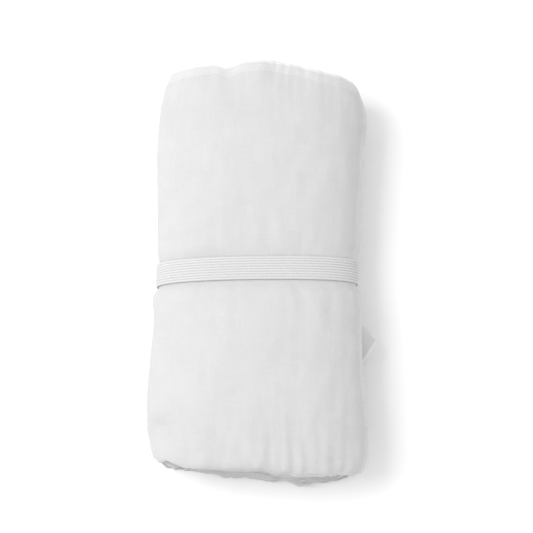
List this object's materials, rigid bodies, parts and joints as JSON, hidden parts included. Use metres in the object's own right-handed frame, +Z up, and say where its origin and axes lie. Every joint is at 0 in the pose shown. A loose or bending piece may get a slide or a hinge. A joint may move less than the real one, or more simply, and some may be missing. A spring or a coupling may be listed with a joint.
{
  "type": "swaddle blanket",
  "caption": "White muslin swaddle blanket, folded to a strip and rolled flat into a soft oblong bundle, held round the waist by a ribbed white elastic band.",
  "frame": {"origin": "middle of the bundle's flat underside, at the centre of its box from above", "axes": "+Y along the roll towards the end where the outer hem shows, +X towards the side where the strip ends in a crease, +Z up from the surface the roll lies on"},
  "size_m": [0.1367, 0.255, 0.054],
  "materials": {
    "muslin": "soft open-weave cotton gauze, matt, finely crinkled",
    "band_elastic": "knitted elastic with lengthwise ribs, matt"
  },
  "bodies": {
    "root": {"swaddle_blanket": "muslin", "elastic_band": "band_elastic"}
  },
  "joints": []
}
